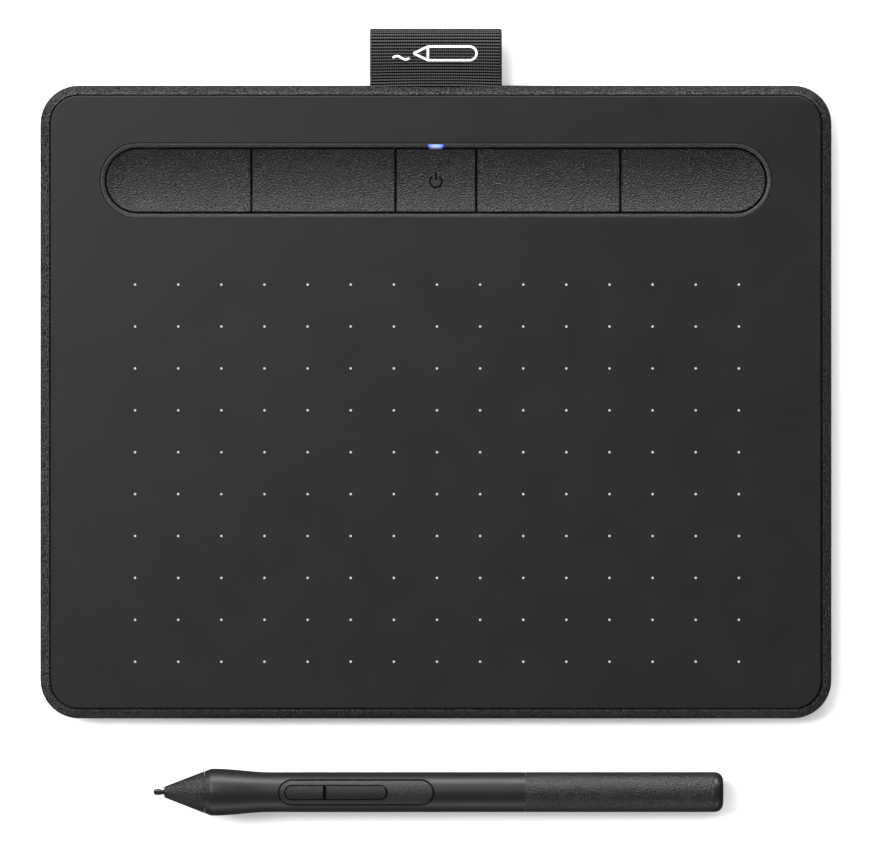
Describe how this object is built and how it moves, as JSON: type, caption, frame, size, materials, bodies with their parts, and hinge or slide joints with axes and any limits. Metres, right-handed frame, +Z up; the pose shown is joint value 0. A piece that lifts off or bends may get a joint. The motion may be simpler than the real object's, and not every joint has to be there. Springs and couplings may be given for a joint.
{
  "type": "pen drawing tablet",
  "caption": "Slim wireless drawing tablet with a dished row of press keys, a status light and a fabric pen loop, with its pressure-sensing pen lying in front.",
  "frame": {"origin": "centre of the whole object's footprint, on the surface it lies on", "axes": "+X along the tablet's long side, towards the pen's rear end; +Y towards the fabric loop; +Z up"},
  "size_m": [0.2, 0.199, 0.0119],
  "materials": {
    "case_plastic": "black moulded plastic with a fine grain",
    "cover_plastic": "smooth charcoal plastic, matte",
    "bezel_plastic": "charcoal plastic, fine grain",
    "key_plastic": "charcoal plastic, sparkling grain",
    "light_pipe": "clear plastic lit blue",
    "switch_stem": "black nylon",
    "circuit_board": "black solder mask",
    "switch_body": "pressed steel cover",
    "chip_black": "moulded epoxy",
    "module_can": "tinned steel shield can",
    "capacitor_body": "ceramic",
    "led_body": "white package",
    "port_shell": "nickel-plated steel",
    "shield_steel": "thin sheet steel",
    "connector_plastic": "black nylon",
    "flex_film": "black polyimide film",
    "battery_foil": "laminated aluminium pouch",
    "foam_tape": "foam tape",
    "lead_red": "red wire insulation",
    "lead_black": "black wire insulation",
    "foot_rubber": "soft black rubber",
    "screw_steel": "black zinc-plated steel",
    "ribbon_fabric": "black ribbed woven ribbon",
    "inner_plastic": "black glass-filled nylon",
    "pen_grained": "black plastic, coarse sparkling grain",
    "pen_soft": "charcoal soft-touch coating",
    "plate_plastic": "charcoal plastic, satin",
    "button_plastic": "charcoal plastic, satin",
    "cap_plastic": "black plastic, satin",
    "nib_plastic": "black acetal",
    "sensor_plastic": "white acetal",
    "ferrite": "sintered ferrite",
    "coil_copper": "enamelled copper wire",
    "dot_ink": "pale printed ink",
    "mark_thread": "white woven thread",
    "symbol_ink": "black ink in an engraving"
  },
  "bodies": {
    "tablet": {"bottom_case": "case_plastic", "top_cover": "cover_plastic", "key_bezel": "bezel_plastic", "led_light_pipe": "light_pipe", "controller_board": "circuit_board", "key_switches": "switch_body", "microcontroller": "chip_black", "wireless_module": "module_can", "capacitors": "capacitor_body", "status_led": "led_body", "usb_port": "port_shell", "sensor_board": "circuit_board", "shield_plate": "shield_steel", "flex_connectors": "connector_plastic", "sensor_cable": "flex_film", "battery": "battery_foil", "battery_tape": "foam_tape", "battery_connector": "connector_plastic", "battery_lead_red": "lead_red", "battery_lead_black": "lead_black", "rubber_feet": "foot_rubber", "case_screws": "screw_steel", "board_screws": "screw_steel", "pen_loop": "ribbon_fabric", "loop_retainer": "inner_plastic", "retainer_screws": "screw_steel"},
    "far_left_key": {"far_left_key": "key_plastic", "far_left_switch_stem": "switch_stem"},
    "left_key": {"left_key": "key_plastic", "left_switch_stem": "switch_stem"},
    "power_key": {"power_key": "key_plastic", "power_switch_stem": "switch_stem"},
    "right_key": {"right_key": "key_plastic", "right_switch_stem": "switch_stem"},
    "far_right_key": {"far_right_key": "key_plastic", "far_right_switch_stem": "switch_stem"},
    "pen": {"nose_cone": "pen_grained", "grip_barrel": "pen_soft", "switch_plate": "plate_plastic", "pen_frame": "inner_plastic", "pen_board": "circuit_board", "pen_switches": "switch_body", "pen_chip": "chip_black", "spare_nib_holder": "inner_plastic", "spare_nibs": "nib_plastic", "ferrite_core": "ferrite", "antenna_coil": "coil_copper", "coil_carrier": "inner_plastic", "pressure_sensor": "sensor_plastic"},
    "nib": {"nib": "nib_plastic", "nib_holder": "sensor_plastic"},
    "front_button": {"front_side_button": "button_plastic", "front_button_stem": "switch_stem"},
    "rear_button": {"rear_side_button": "button_plastic", "rear_button_stem": "switch_stem"},
    "rear_barrel": {"rear_barrel": "pen_grained", "end_cap": "cap_plastic"}
  },
  "joints": [
    {"name": "far_left_key_press", "type": "slide", "parent": "tablet", "child": "far_left_key", "axis": [0, 0, -1], "range_m": [0, 0.00035], "stiffness_N_per_m": 1500},
    {"name": "left_key_press", "type": "slide", "parent": "tablet", "child": "left_key", "axis": [0, 0, -1], "range_m": [0, 0.00035], "stiffness_N_per_m": 1500},
    {"name": "power_key_press", "type": "slide", "parent": "tablet", "child": "power_key", "axis": [0, 0, -1], "range_m": [0, 0.00035], "stiffness_N_per_m": 1500},
    {"name": "right_key_press", "type": "slide", "parent": "tablet", "child": "right_key", "axis": [0, 0, -1], "range_m": [0, 0.00035], "stiffness_N_per_m": 1500},
    {"name": "far_right_key_press", "type": "slide", "parent": "tablet", "child": "far_right_key", "axis": [0, 0, -1], "range_m": [0, 0.00035], "stiffness_N_per_m": 1500},
    {"name": "pen_lift", "type": "slide", "parent": "tablet", "child": "pen", "axis": [0, 0, 1], "range_m": [0, 0.06]},
    {"name": "nib_press", "type": "slide", "parent": "pen", "child": "nib", "axis": [1, 0, -0.0071], "range_m": [0, 0.0003], "stiffness_N_per_m": 3000},
    {"name": "front_button_press", "type": "slide", "parent": "pen", "child": "front_button", "axis": [-0.0071, 0, -1], "range_m": [0, 0.00025], "stiffness_N_per_m": 2500},
    {"name": "rear_button_press", "type": "slide", "parent": "pen", "child": "rear_button", "axis": [-0.0071, 0, -1], "range_m": [0, 0.00025], "stiffness_N_per_m": 2500},
    {"name": "rear_barrel_pull", "type": "slide", "parent": "pen", "child": "rear_barrel", "axis": [1, 0, -0.0071], "range_m": [0, 0.045]}
  ]
}
